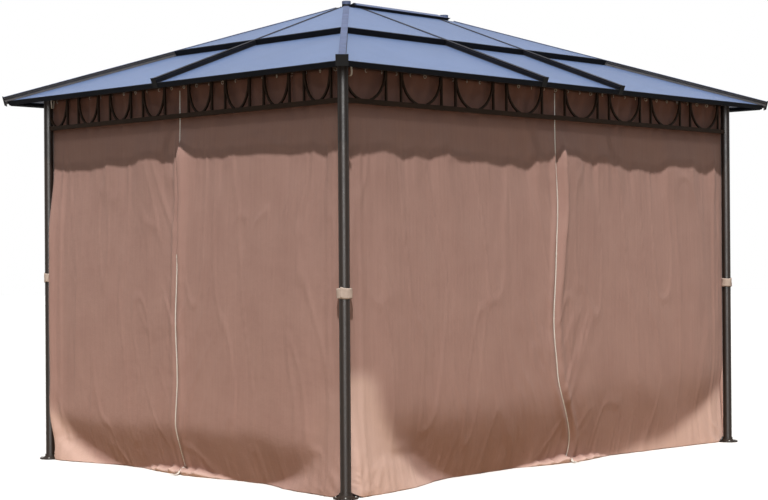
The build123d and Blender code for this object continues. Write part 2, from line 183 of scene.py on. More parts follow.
class GazeboFinishes(bpy.types.PropertyGroup):
    """Colours of the frame, the roof and the cloth."""

    coat: bpy.props.FloatVectorProperty(
        name="Powder coat", description="Colour of the posts, friezes and feet",
        subtype="COLOR", size=4, default=(0.018, 0.0105, 0.0065, 1))
    beam: bpy.props.FloatVectorProperty(
        name="Roof beams", description="Colour of the slotted roof beams",
        subtype="COLOR", size=4, default=(0.0095, 0.0105, 0.0140, 1))
    rafter: bpy.props.FloatVectorProperty(
        name="Rafters", description="Colour of the rafters",
        subtype="COLOR", size=4, default=(0.036, 0.036, 0.044, 1))
    hip: bpy.props.FloatVectorProperty(
        name="Hips", description="Colour of the hip beams",
        subtype="COLOR", size=4, default=(0.090, 0.085, 0.088, 1))
    cap: bpy.props.FloatVectorProperty(
        name="End caps", description="Colour of the moulded beam ends",
        subtype="COLOR", size=4, default=(0.010, 0.0095, 0.010, 1))
    # The sheets' blue-grey is a painted reflection of a blue sky.
    sheet: bpy.props.FloatVectorProperty(
        name="Roof sheets", description="Colour of the twin-wall roof sheets",
        subtype="COLOR", size=4, default=(0.149, 0.220, 0.412, 1))
    cloth: bpy.props.FloatVectorProperty(
        name="Curtain cloth", description="Colour of the curtains",
        subtype="COLOR", size=4, default=(0.350, 0.209, 0.178, 1))
    # Painted light: the curtains take this colour where they are sunlit, on their corners by the posts and on
    # the hem strip by the zips; on curtains and ties it is also the colour of random wear.
    wear_and_painted_light: bpy.props.FloatVectorProperty(
        name="Faded cloth", description="Colour of the curtains where dust and sun have bleached them",
        subtype="COLOR", size=4, default=(0.61, 0.42, 0.36, 1))
    # Painted shade: the curtains take this colour behind the friezes and under their bottom rails.
    painted_shade: bpy.props.FloatVectorProperty(
        name="Fresh cloth", description="Colour of the curtains where the friezes shelter them",
        subtype="COLOR", size=4, default=(0.242, 0.122, 0.094, 1))
    tie: bpy.props.FloatVectorProperty(
        name="Tie cloth", description="Colour of the ties, tapes and ribbons",
        subtype="COLOR", size=4, default=(0.50, 0.405, 0.345, 1))
    sheet_cover: bpy.props.FloatProperty(
        name="Sheet cover", description="Share of the light that each face of a roof sheet stops",
        subtype="FACTOR", min=0, max=1, default=0.72)
    # The strips' blue is a painted reflection of the sky.
    strip: bpy.props.FloatVectorProperty(
        name="Hip strips", description="Colour of the bright strips over the hips",
        subtype="COLOR", size=4, default=(0.095, 0.122, 0.222, 1))
    steel: bpy.props.FloatVectorProperty(
        name="Bolts", description="Colour of the foot bolts and zip sliders",
        subtype="COLOR", size=4, default=(0.16, 0.15, 0.14, 1))
    plastic: bpy.props.FloatVectorProperty(
        name="Hook plastic", description="Colour of the hooks and zip teeth",
        subtype="COLOR", size=4, default=(0.72, 0.68, 0.62, 1))


class GazeboCurtains(bpy.types.PropertyGroup):
    """Sizes of the curtains, zips, hooks and bolts."""

    cloth_thickness: bpy.props.FloatProperty(
        name="Cloth thickness", description="Thickness of the curtain cloth",
        unit="LENGTH", default=0.0012)
    hang_inset: bpy.props.FloatProperty(
        name="Hanging line", description="Distance of the curtains behind the middle of the posts",
        unit="LENGTH", default=0.0205)
    edge_gap: bpy.props.FloatProperty(
        name="Edge gap", description="Distance from the middle of a post to the edge of the cloth",
        unit="LENGTH", default=0.0203)
    cell: bpy.props.FloatProperty(
        name="Cloth cell", description="Size of the cloth's mesh cells",
        unit="LENGTH", default=0.012)
    spare_width: bpy.props.FloatProperty(
        name="Spare width", description="Width of cloth taken up by each curtain's folds",
        unit="LENGTH", default=0.06)
    hem_flare: bpy.props.FloatProperty(
        name="Hem flare", description="How far the hem kicks out over the ground by a zip",
        unit="LENGTH", default=0.055)
    zip_width: bpy.props.FloatProperty(
        name="Zip width", description="Width of the zip's teeth",
        unit="LENGTH", default=0.0075)
    zip_pitch: bpy.props.FloatProperty(
        name="Zip pitch", description="Distance between the zip's teeth",
        unit="LENGTH", default=0.012)
    hook_spacing: bpy.props.FloatProperty(
        name="Hook spacing", description="Distance between the curtain hooks",
        unit="LENGTH", default=0.115)
    bolt_spacing: bpy.props.FloatProperty(
        name="Bolt spacing", description="Distance between the bolts of a foot",
        unit="LENGTH", default=0.074)
    flange: bpy.props.FloatProperty(
        name="Foot flange", description="Thickness of a foot under its bolts",
        unit="LENGTH", default=0.008)


class GazeboStage(bpy.types.PropertyGroup):
    """Light of the stage and the camera's place."""

    sun_strength: bpy.props.FloatProperty(
        name="Key strength", description="Strength of the key light", default=3.85)
    gloss_strength: bpy.props.FloatProperty(
        name="Gloss strength", description="Strength of the soft light that only glossy surfaces mirror",
        default=9.0)
    sky_strength: bpy.props.FloatProperty(
        name="Fill strength", description="Strength of the light from all round", default=0.33)
    camera_place: bpy.props.FloatVectorProperty(
        name="Camera place", description="Where the camera stands",
        subtype="TRANSLATION", unit="LENGTH", size=3, default=(-7.906, -7.619, 1.259))
    camera_turn: bpy.props.FloatVectorProperty(
        name="Camera turn", description="Tilt up, roll, and turn from +Y towards +X",
        subtype="EULER", size=3,
        default=(math.radians(0.183), math.radians(-0.404), math.radians(45.575)))
    lens: bpy.props.FloatProperty(
        name="Lens", description="Focal length in millimetres on a 36 mm wide sensor", default=79.46)


# Selection and finishing

def start_clean():
    """Leaves edit mode and deselects everything."""
    if bpy.context.object and bpy.context.object.mode != "OBJECT":
        bpy.ops.object.mode_set(mode="OBJECT")
    bpy.ops.object.select_all(action="DESELECT")


def apply_modifier(piece, kind, **values):
    """Adds a modifier, sets its values and applies it."""
    modifier = piece.modifiers.new(kind.title(), kind)
    for name, value in values.items():
        setattr(modifier, name, value)
    bpy.context.view_layer.objects.active = piece
    bpy.ops.object.modifier_apply(modifier=modifier.name)


def join(pieces):
    """Makes one piece of several, with its place in its mesh."""
    start_clean()
    for piece in pieces:
        piece.select_set(True)
    bpy.context.view_layer.objects.active = pieces[0]
    bpy.ops.object.join()
    whole = bpy.context.object
    bpy.ops.object.transform_apply(location=True, rotation=True, scale=True)
    return whole


def repeat(pattern, places):
    """One piece of copies of a pattern, a mesh of its own at each place."""
    copies = []
    for place in places:
        copy = bpy.data.objects.new(pattern.name, pattern.data.copy())
        copy.matrix_world = place
        bpy.context.collection.objects.link(copy)
        copies.append(copy)
    bpy.data.objects.remove(pattern)
    return join(copies)


def finish_piece(piece, name, material):
    """Names a piece, gives it its finish and lets it ride on the frame."""
    piece.name = name
    piece.data.name = name
    piece.data.materials.clear()
    piece.data.materials.append(material)
    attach(piece, "root")


def smooth(piece):
    """Shades a piece smooth, apart from its sharp edges."""
    sharp = math.radians(40)
    start_clean()
    piece.select_set(True)
    bpy.context.view_layer.objects.active = piece
    bpy.ops.object.shade_smooth_by_angle(angle=sharp)


def edit_all(action, **values):
    """Runs a mesh operator on the whole of the active piece."""
    bpy.ops.object.mode_set(mode="EDIT")
    bpy.ops.mesh.select_all(action="SELECT")
    action(**values)
    bpy.ops.object.mode_set(mode="OBJECT")


def block(size, place=(0, 0, 0), bevel=0.001, segments=1):
    """A block with bevelled edges."""
    start_clean()
    bpy.ops.mesh.primitive_cube_add(size=1, scale=size, location=place)
    bpy.ops.object.transform_apply(location=True, rotation=False, scale=True)
    edit_all(bpy.ops.mesh.bevel, offset=bevel, segments=segments, affect="EDGES")
    return bpy.context.object


def cylinder(vertices, radius, depth, height):
    """An upright cylinder with its middle at a height."""
    start_clean()
    bpy.ops.mesh.primitive_cylinder_add(
        vertices=vertices, radius=radius, depth=depth, location=(0, 0, height))
    return bpy.context.object


# Sides of the gazebo

def is_long(side):
    return side in ("front", "back")


def half_span(side):
    """Distance from a side's middle to the middle of its posts."""
    return post_x if is_long(side) else post_y


def plane_distance(side):
    """Distance from the gazebo's middle to the plane through a side's posts."""
    return post_y if is_long(side) else post_x


def side_axes(side):
    """Directions along a side, to the right as seen from outside, and out of it."""
    turn = math.radians(sides[side])
    along = Vector((math.cos(turn), math.sin(turn), 0))
    outward = Vector((math.sin(turn), -math.cos(turn), 0))
    return along, outward


def place_on_side(side, across, out, height):
    """Points of the frame for arrays of places on a side."""
    along, outward = side_axes(side)
    reach = plane_distance(side) + out
    return np.stack([
        along.x * across + outward.x * reach,
        along.y * across + outward.y * reach,
        height,
    ], axis=-1)


def side_matrix(side, across, out, height):
    """Place of a pattern that is modelled along X, with its outside towards -Y."""
    spot = place_on_side(side, across, out, height)
    return Matrix.Translation(Vector(spot)) @ Matrix.Rotation(math.radians(sides[side]), 4, "Z")


# Materials

def new_material(name):
    """A material with its node tree and its shader."""
    material = bpy.data.materials.new(name)
    material.use_nodes = True
    return material, material.node_tree, material.node_tree.nodes["Principled BSDF"]


def feed(tree, socket, value):
    """Gives an input a plain value, or links another node's output to it."""
    if isinstance(value, bpy.types.NodeSocket):
        tree.links.new(value, socket)
    else:
        socket.default_value = value


def set_inputs(tree, node, **values):
    """Feeds a node's inputs, named with underscores for spaces."""
    for name, value in values.items():
        feed(tree, node.inputs[name.replace("_", " ")], value)


def add_node(tree, kind, **values):
    """A node with its inputs fed."""
    node = tree.nodes.new(kind)
    set_inputs(tree, node, **values)
    return node


def calculate(tree, operation, *terms):
    """Result of an operation on terms that are plain numbers or sockets."""
    node = tree.nodes.new("ShaderNodeMath")
    node.operation = operation
    for socket, term in zip(node.inputs, terms):
        feed(tree, socket, term)
    return node.outputs["Value"]


def noise(tree, coordinates, scale, detail=3.0, stretch=(1, 1, 1)):
    """Noise on the given coordinates, stretched by scales along the axes."""
    stretched = add_node(tree, "ShaderNodeMapping", Scale=stretch, Vector=coordinates).outputs["Vector"]
    texture = add_node(tree, "ShaderNodeTexNoise", Scale=scale, Detail=detail, Vector=stretched)
    return texture.outputs["Fac"]


def bands(tree, coordinates, scale, direction):
    """Even bands that follow each other in a direction."""
    node = add_node(tree, "ShaderNodeTexWave", Scale=scale, Vector=coordinates)
    node.wave_type = "BANDS"
    node.bands_direction = direction
    return node.outputs["Fac"]


def spread(tree, value, low, high, source=(0.3, 0.7)):
    """A value spread from a source range, or else from the middle range of a noise, over another range."""
    node = add_node(
        tree, "ShaderNodeMapRange", Value=value,
        From_Min=source[0], From_Max=source[1], To_Min=low, To_Max=high)
    return node.outputs["Result"]


def mix_colours(tree, factor, first, second):
    """A colour between two, each a plain colour or a socket."""
    node = tree.nodes.new("ShaderNodeMix")
    node.data_type = "RGBA"
    sockets = {socket.identifier: socket for socket in list(node.inputs) + list(node.outputs)}
    feed(tree, node.inputs["Factor"], factor)
    feed(tree, sockets["A_Color"], first)
    feed(tree, sockets["B_Color"], second)
    return sockets["Result_Color"]


def shade(colour, factor):
    """A lighter or darker tone of a colour."""
    return (colour[0] * factor, colour[1] * factor, colour[2] * factor, 1)


def set_relief(tree, shader, parts):
    """Bumps whose height, in metres, is the sum of values that each count by an amount."""
    total = 0
    for value, amount in parts:
        total = calculate(tree, "MULTIPLY_ADD", value, amount, total)
    bump = add_node(tree, "ShaderNodeBump", Strength=1.0, Distance=1.0, Height=total)
    set_inputs(tree, shader, Normal=bump.outputs["Normal"])


def coat_material(name, colour, roughness, specular, metallic=0.0):
    """Powder coat or bare metal: a fine orange peel, with faint changes of tone and gloss."""
    material, tree, shader = new_material(name)
    coordinates = add_node(tree, "ShaderNodeTexCoord").outputs["Object"]
    patches = spread(tree, noise(tree, coordinates, scale=9.0, detail=5.0), 0, 1)
    gloss = noise(tree, coordinates, scale=24.0)
    peel = noise(tree, coordinates, scale=700.0, detail=2.0)
    set_inputs(
        tree, shader, Specular_IOR_Level=specular, Metallic=metallic,
        Base_Color=mix_colours(tree, patches, shade(colour, 0.84), shade(colour, 1.18)),
        Roughness=spread(tree, gloss, roughness - 0.04, roughness + 0.05))
    set_relief(tree, shader, [(peel, 0.00006)])
    return material


def sheet_material(name, colour, across_axis, cover):
    """Twin-wall sheet that lets some light through, with fine flutes up the slope and faint streaks."""
    material, tree, shader = new_material(name)
    coordinates = add_node(tree, "ShaderNodeTexCoord").outputs["Object"]
    stretch = (1, 0.06, 1) if across_axis == "X" else (0.06, 1, 1)
    clouds = spread(tree, noise(tree, coordinates, scale=1.6, detail=4.0), 0, 1)
    streaks = spread(tree, noise(tree, coordinates, scale=14.0, detail=4.0, stretch=stretch), 0, 0.12)
    clouded = mix_colours(tree, clouds, shade(colour, 0.93), shade(colour, 1.07))
    streaked = mix_colours(tree, streaks, clouded, shade(colour, 1.5))
    set_inputs(tree, shader, Base_Color=streaked, Roughness=0.42, Specular_IOR_Level=0.25, Alpha=cover)
    flutes = bands(tree, coordinates, scale=50.0, direction=across_axis)
    set_relief(tree, shader, [(flutes, 0.0002)])
    return material


def weave_height(tree, coordinates, thread):
    """Height of a plain weave whose threads are a given distance apart."""
    scale = math.pi / (10 * thread)
    warp = bands(tree, coordinates, scale, direction="X")
    weft = bands(tree, coordinates, scale, direction="Y")
    return calculate(tree, "MULTIPLY", warp, weft)


def cloth_material(name, colour, wear_and_painted_light, painted_shade, thread):
    """Woven cloth with slubs, fine creases and wear, and painted light and shade where the piece's attribute
    says so.
    """
    material, tree, shader = new_material(name)
    coordinates = add_node(tree, "ShaderNodeTexCoord").outputs["UV"]
    slubs = spread(tree, noise(tree, coordinates, scale=60.0, detail=4.0, stretch=(1, 0.05, 1)), 0, 1)
    wear = spread(tree, noise(tree, coordinates, scale=5.0, detail=6.0), 0, 0.10)
    colours = mix_colours(tree, slubs, shade(colour, 0.965), shade(colour, 1.035))
    colours = mix_colours(tree, wear, colours, wear_and_painted_light)
    # The attribute mixes in the pale colour as painted light at 1 and the dark colour as painted shade at -1.
    painted_light_and_shade = tree.nodes.new("ShaderNodeAttribute")
    painted_light_and_shade.attribute_name = "painted_light_and_shade"
    for end, end_colour in ((1, wear_and_painted_light), (-1, painted_shade)):
        amount = spread(tree, painted_light_and_shade.outputs["Fac"], 0, 1, source=(0, end))
        colours = mix_colours(tree, amount, colours, end_colour)
    set_inputs(
        tree, shader, Base_Color=colours, Roughness=0.86, Specular_IOR_Level=0.10,
        Sheen_Weight=0.06, Sheen_Roughness=0.5)
    weave = weave_height(tree, coordinates, thread)
    fine_creases = noise(tree, coordinates, scale=42.0, stretch=(1, 0.07, 1))
    cockles = noise(tree, coordinates, scale=17.0, detail=5.0)
    set_relief(tree, shader, [(weave, 0.00012), (fine_creases, 0.0016), (cockles, 0.0015)])
    return material


def plastic_material(name, colour, roughness, specular=0.5):
    """Moulded plastic with a fine grain."""
    material, tree, shader = new_material(name)
    coordinates = add_node(tree, "ShaderNodeTexCoord").outputs["Object"]
    patches = spread(tree, noise(tree, coordinates, scale=40.0), 0, 1)
    grain = noise(tree, coordinates, scale=1500.0, detail=1.0)
    set_inputs(
        tree, shader, Roughness=roughness, Specular_IOR_Level=specular,
        Base_Color=mix_colours(tree, patches, shade(colour, 0.9), shade(colour, 1.06)))
    set_relief(tree, shader, [(grain, 0.00004)])
    return material


class GAZEBO_OT_paint_frame(bpy.types.Operator):
    """Give the posts, friezes, beams, strips, caps, feet, tracks and roof sheets their finishes"""

    bl_idname = "gazebo.paint_frame"
    bl_label = "Paint the frame"

    def execute(self, context):
        finishes = context.scene.gazebo_finishes
        # The friezes and post seats take the posts' coat 1.7 times lighter: painted light that lifts them in
        # the shade of the eaves.
        coat_with_painted_light = shade(finishes.coat, 1.7)
        beam = coat_material("beam_coat", finishes.beam, roughness=0.70, specular=0.03)
        coat = coat_material("powder_coat", coat_with_painted_light, roughness=0.50, specular=0.04)
        cap = plastic_material("cap_plastic", finishes.cap, roughness=0.60, specular=0.06)
        # The sheets' colour carries a painted reflection of the sky.
        sheet_x = sheet_material("roof_sheet_long", finishes.sheet, "X", finishes.sheet_cover)
        sheet_y = sheet_material("roof_sheet_short", finishes.sheet, "Y", finishes.sheet_cover)
        finish_of = {
            "post_": coat_material("post_coat", finishes.coat, roughness=0.42, specular=0.20),
            "foot_": coat_material("foot_coat", finishes.coat, roughness=0.52, specular=0.20),
            "curtain_tracks": coat_material("track_coat", finishes.coat, roughness=0.50, specular=0.04),
            "hip_": coat_material("hip_coat", finishes.hip, roughness=0.60, specular=0.06),
            "rafters_": coat_material("rafter_coat", finishes.rafter, roughness=0.65, specular=0.04),
            # The hip strips' blue is a painted reflection of the sky.
            "roof_trim": coat_material("strip_metal", finishes.strip, roughness=0.55, specular=0.10),
            "post_seats": coat, "frieze_": coat, "eave_": beam, "purlins_": beam, "ridge": beam,
            "ridge_hubs": cap, "beam_end_caps": cap,
            "roof_panels_front": sheet_x, "roof_panels_back": sheet_x,
            "roof_panels_left": sheet_y, "roof_panels_right": sheet_y,
        }
        for name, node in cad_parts.items():
            starts = [start for start in finish_of if name.startswith(start)]
            if starts:
                node.data.materials.clear()
                node.data.materials.append(finish_of[max(starts, key=len)])
        return {"FINISHED"}


# Cloth shapes

def ease(low, high, value):
    """Smooth rise from 0 at low to 1 at high."""
    share = np.clip((value - low) / (high - low), 0, 1)
    return share * share * (3 - 2 * share)


def rise(name, value):
    """Smooth rise from 0 to 1 over the named range."""
    return ease(*fades[name], value)


def bump_at(value, middle, width):
    """Smooth hump of height 1 round a middle."""
    return np.exp(-(((value - middle) / width) ** 2))


def seed_of(shape, side, half):
    """Where the random draws of a shape start on one curtain."""
    start, step = seeds[shape]
    return sides[side] + start + step * hands[half]


def crumple(across, up, width, height, seed, crisp=False):
    """Random heights from -1 to 1 on cells of the given width and height, smooth or folded crisply."""
    column_place = (across - lattice_start[0]) / width
    row_place = (up - lattice_start[1]) / height
    column = np.floor(column_place).astype(int)
    row = np.floor(row_place).astype(int)
    shape = (math.ceil(lattice_size[0] / width) + 2, math.ceil(lattice_size[1] / height) + 2)
    lattice = np.random.default_rng(seed).uniform(-1, 1, shape)
    right = column_place - column
    if not crisp:
        right = ease(0, 1, right)
    upper = ease(0, 1, row_place - row)
    low = lattice[column, row] * (1 - right) + lattice[column + 1, row] * right
    high = lattice[column, row + 1] * (1 - right) + lattice[column + 1, row + 1] * right
    return low * (1 - upper) + high * upper


def waver(place, width, seed):
    """Random heights from -1 to 1 along a line, on cells of the given width."""
    return crumple(place, place * 0, width, 1, seed)


def creases(across, up, width, height, seed, sharpness):
    """Random thin ridges, 1 on their crests and 0 between them; a sharper ridge is narrower."""
    nearness = 1 - np.abs(crumple(across, up, width, height, seed))
    return np.clip(1 - (1 - nearness) * sharpness, 0, 1)


def zip_line(side, height):
    """Place of the zip along its side: it wanders, bows and is dragged sideways near the ground."""
    phase = sides[side]
    slow_wander = 0.006 * np.sin(height * 5.1 + phase)
    quick_wander = 0.003 * np.sin(height * 13.0 + 2 * phase)
    wander = (slow_wander + quick_wander) * (1 - rise("zip_wander", height))
    drag = zip_drags[side] * (1 - rise("zip_drag", height))
    bow = zip_bows[side] * bump_at(height, middle=0.85, width=0.45)
    return zip_shifts[side] + (drag + bow) + wander


def tuck_in(side, half, height, from_zip, from_post):
    """How far the cloth is drawn in above the hem; both halves agree at the zip."""
    share = rise("own_tuck", from_zip)
    tuck = {}
    for name, own in tucks[side, half].items():
        shared = (tucks[side, "left"][name] + tucks[side, "right"][name]) / 2
        tuck[name] = shared + (own - shared) * share
    uneven = 0.03 * waver(from_zip, width=0.31, seed=seed_of("tuck", side, half))
    start = tuck["start"] + uneven * share + tuck["rise"] * bump_at(from_post, middle=0, width=0.26)
    softness = tuck_softness[side]
    return tuck["slope"] * softness * np.log1p(np.exp((start - height) / softness))


def hem_strip(side, half, height, from_zip):
    """1 on the ragged strip of hem by the zip that lies over the ground, and 0 elsewhere."""
    strip_height = 0.030
    soft_below = 0.012
    soft_above = 0.004
    uneven = 0.012 * waver(from_zip, width=0.035, seed=seed_of("strip", side, half))
    top = (strip_height + uneven) * (1 - rise("strip", from_zip))
    return 1 - ease(top - soft_below, top + soft_above, height)


def sloped_corner(side, half, height, from_post, tucked):
    """The cloth with a corner that slopes out to the ground, and how much painted light each point of it
    gets.
    """
    corner = sloped_corners[side, half]
    tuck = tucks[side, half]
    crease = 0.016
    least_drop = 0.05
    most_painted_light = 0.88
    drop_along = tuck["slope"] * tuck["start"]
    drop_up = tuck["slope"] * max(tuck["start"] + tuck["rise"] - corner["top"], least_drop)
    sloped = -drop_along * from_post / corner["reach"] - drop_up * height / corner["top"]
    apart = sloped - tucked
    outer = (sloped + tucked + np.sqrt(apart ** 2 + crease ** 2)) / 2
    # The sloped face of the corner is painted paler: painted light where the sun falls on it.
    return outer, most_painted_light * ease(-crease, 2 * crease, apart)


def straight_corner(side, half, height, from_post, tucked, plain):
    """The cloth with a corner that hangs straight down, and how much painted light each point of it gets."""
    corner = straight_corners[side, half]
    pale_edge = (-0.07, 0.09)
    pale_top = (-0.12, 0.02)
    uneven = 0.03 * waver(height, width=0.07, seed=seed_of("border", side, half)) * np.exp(-height / 0.2)
    widening = (corner["reach"] - corner["near"]) * np.exp(-height / corner["fall"])
    border = corner["near"] + widening + uneven
    softness = 0.07 + 0.35 * np.maximum(border - corner["near"], 0)
    inside = 1 - ease(border - softness, border + softness, from_post)
    taper = 1 - 0.8 * ease(0.15, 0.8, from_post / border)
    kick = corner["kick"] * (1 - rise("kick", height)) * rise("kick_by_post", from_post) * taper
    straight = plain * rise("corner_billow", height) + kick
    # The corner is painted paler up to its top: painted light where the sun falls on the flat cloth by the
    # post.
    pale = 1 - ease(*pale_edge, from_post - border)
    pale = pale * (1 - ease(*pale_top, height - corner["top"]))
    return tucked + inside * (straight - tucked), corner["pale"] * pale


def drape(side, half, height, from_zip, from_post, curtains):
    """Distance of the smooth cloth out of the post plane, and how much painted light it gets."""
    plain = billows[side] * rise("billow", rail_low - height) * rise("billow_by_post", from_post)
    tucked = plain - tuck_in(side, half, height, from_zip, from_post)
    strip = hem_strip(side, half, height, from_zip)
    less_flare = 0.75 * rise("flare", from_zip)
    tucked = tucked + curtains.hem_flare * strip * (1 - less_flare)
    if (side, half) in sloped_corners:
        shaped, painted_light = sloped_corner(side, half, height, from_post, tucked)
    else:
        shaped, painted_light = straight_corner(side, half, height, from_post, tucked, plain)
    # The corners and the hem strip by the zip are painted paler: painted light.
    return shaped - curtains.hang_inset, np.maximum(painted_light, strip)


def zip_ridges(half, from_zip, height):
    """Upright folds beside the zip; the right half stands out further than the left."""
    least = 0.35
    strength = (least + (1 - least) * rise("zip_ridge", height)) * (1 - rise("zip_ridge_top", height))
    if half == "left":
        return 0.020 * strength * bump_at(from_zip, middle=0.030, width=0.018)
    fold = 0.030 * bump_at(from_zip, middle=0.042, width=0.026)
    spread_out = 0.022 * np.exp(-from_zip / 0.45) * rise("zip_spread", from_zip)
    return strength * (fold + spread_out)


def wrinkle(kind, seed, hand, across, height, distances):
    """Height of one kind of wrinkle."""
    slanted = across - hand * kind.get("slant", 0) * height
    cell = (kind["width"], kind["height"])
    if "sharpness" in kind:
        pattern = creases(slanted, height, *cell, seed + kind["draw"], kind["sharpness"])
    else:
        pattern = crumple(slanted, height, *cell, seed + kind["draw"], kind.get("crisp", False))
    if "start" in kind:
        least = kind.get("least", 0)
        pattern = pattern * (least + (1 - least) * ease(*kind["start"], height))
    if "end" in kind:
        pattern = pattern * (1 - ease(*kind["end"], height))
    if "edge" in kind:
        pattern = pattern * np.exp(-distances[kind["edge"]] / kind["reach"])
    return kind["depth"] * pattern


def wrinkles(side, half, across, height, from_zip, from_post, curtains):
    """All small folds of one curtain, with its seam, and the gathers and slack behind the frieze."""
    hand = hands[half]
    seed = seed_of("wrinkle", side, half)
    distances = {"zip": from_zip, "post": from_post}
    lean = across + 0.08 * crumple(across, height, width=0.5, height=0.7, seed=seed + 1)
    total = 0
    for kind in wrinkle_kinds.values():
        total = total + wrinkle(kind, seed, hand, lean if "leans" in kind else across, height, distances)
    seam = 0.0045 * bump_at(from_post, middle=0.115, width=0.013)
    patch_edge = 0.1
    slant = 0.4
    patches = np.clip(crumple(across, height, width=0.42, height=0.36, seed=seed + 5) - patch_edge, 0, 1)
    slanted = across - hand * slant * height
    ridges = creases(slanted, height, width=0.055, height=0.45, seed=seed + 6, sharpness=4)
    crumples = 0.006 * patches * ridges
    total = total + (seam + crumples) * (1 - ease(*under_rail, height))
    gathers = 0.005 * np.sin(across * 2 * math.pi / curtains.hook_spacing) * rise("gathers", height)
    loose = 0.5 + 0.5 * crumple(lean, height, width=0.055, height=0.30, seed=seed + 13)
    slack = 0.018 * loose * rise("slack", height) * (1 - rise("slack_top", height))
    free = rise("free_of_zip", from_zip) * rise("free_of_post", from_post)
    return free * (total + gathers - slack)


def gust(height, from_post):
    """How far the wind lifts a curtain's edge round its post."""
    lift = 0.058
    crest = fades["gust_by_post"][1]
    dying_away = np.exp(-np.maximum(from_post - crest, 0) / 0.10)
    round_post = rise("gust_by_post", from_post) * dying_away
    return lift * round_post * rise("gust", height) * (1 - rise("gust_top", height))


def cloth_out(side, half, across, height, curtains):
    """Distance of the cloth out of the post plane, and how much painted light it gets."""
    edge = hands[half] * (half_span(side) - curtains.edge_gap)
    from_zip = np.abs(across - zip_line(side, height))
    from_post = np.abs(edge - across)
    out, painted_light = drape(side, half, height, from_zip, from_post, curtains)
    out = out + zip_ridges(half, from_zip, height)
    out = out + wrinkles(side, half, across, height, from_zip, from_post, curtains)
    if (side, half) == gusty_half:
        out = out + gust(height, from_post)
    clear = 0.002
    behind_rail = -frieze_depth / 2 - clear
    held = rise("behind_rail", height)
    out = np.where(out > behind_rail, out + held * (behind_rail - out), out)
    furthest = 0.08
    beside_post = -curtains.hang_inset + furthest * rise("beside_post", from_post)
    return np.minimum(out, beside_post), painted_light


def curtain_points(side, half, across_share, drop_share, curtains):
    """Points of one curtain and their painted light and shade, for shares across from the zip and down from
    the top.
    """
    closer_low = 1.2
    clear = 0.0008
    above_ground = 0.0022
    edge = half_span(side) - curtains.edge_gap
    reach = across_share * edge
    sag = 0.0015 * np.abs(np.sin(math.pi * reach / curtains.hook_spacing))
    top = track_low - clear - sag
    over_foot = 0.034 * bump_at(edge - reach, middle=0, width=0.038)
    ragged = above_ground + 0.0012 * waver(reach, width=0.05, seed=seed_of("hem", side, half))
    hem = np.maximum(ragged, over_foot)
    height = hem + (top - hem) * (1 - drop_share) ** closer_low
    line = zip_line(side, height)
    across = line + across_share * (hands[half] * edge - line)
    out, painted_light = cloth_out(side, half, across, height, curtains)
    # Painted light on the corners and the hem strip counts up to 1; painted shade behind the frieze and under
    # its bottom rail takes it down to -1.
    wear_and_painted_light = np.clip(painted_light, 0, 1) - rise("painted_shade_by_frieze", height)
    return place_on_side(side, across, out, height), wear_and_painted_light


def grid_piece(columns, rows):
    """A flat grid, with each point's shares across and down it."""
    start_clean()
    bpy.ops.mesh.primitive_grid_add(x_subdivisions=columns, y_subdivisions=rows, size=1)
    piece = bpy.context.object
    places = np.zeros(len(piece.data.vertices) * 3)
    piece.data.vertices.foreach_get("co", places)
    places = places.reshape(-1, 3)
    return piece, places[:, 0] + 0.5, 0.5 - places[:, 1]


def set_points(piece, points):
    """Moves a grid's points to their places."""
    piece.data.vertices.foreach_set("co", points.astype(np.float32).ravel())
    piece.data.update()


def face_towards(piece, outward):
    """Turns a sheet's faces to the outside."""
    facing = sum((face.normal * face.area for face in piece.data.polygons), Vector())
    if facing.dot(outward) < 0:
        edit_all(bpy.ops.mesh.flip_normals)


def scale_uv(piece, width, length):
    """Stretches a grid's UV map to metres, so that patterns keep their size."""
    layer = piece.data.uv_layers.active.data
    values = np.zeros(len(layer) * 2)
    layer.foreach_get("uv", values)
    values = values.reshape(-1, 2) * (width, length)
    layer.foreach_set("uv", values.astype(np.float32).ravel())


def set_painted_light_and_shade(piece, values):
    """Stores each point's painted light and shade: 1 where light is painted, 0 on plain cloth and -1 where
    shade is painted.
    """
    layer = piece.data.attributes.new("painted_light_and_shade", "FLOAT", "POINT")
    layer.data.foreach_set("value", values.astype(np.float32))


def length_of(path):
    """Length of a line through points."""
    return float(np.linalg.norm(np.diff(path, axis=0), axis=1).sum())


def ribbon(path, across, width, thickness):
    """A strip of tape along a path; across is the direction of its width at each point of the path."""
    piece, along_share, side_share = grid_piece(columns=len(path) - 1, rows=3)
    steps = np.linspace(0, 1, len(path))
    middle = np.stack([np.interp(along_share, steps, path[:, axis]) for axis in range(3)], axis=-1)
    sideways = np.stack([np.interp(along_share, steps, across[:, axis]) for axis in range(3)], axis=-1)
    set_points(piece, middle + (side_share[:, None] - 0.5) * width * sideways)
    scale_uv(piece, length_of(path), width)
    bpy.ops.object.shade_smooth()
    apply_modifier(piece, "SOLIDIFY", thickness=thickness, offset=0)
    return piece


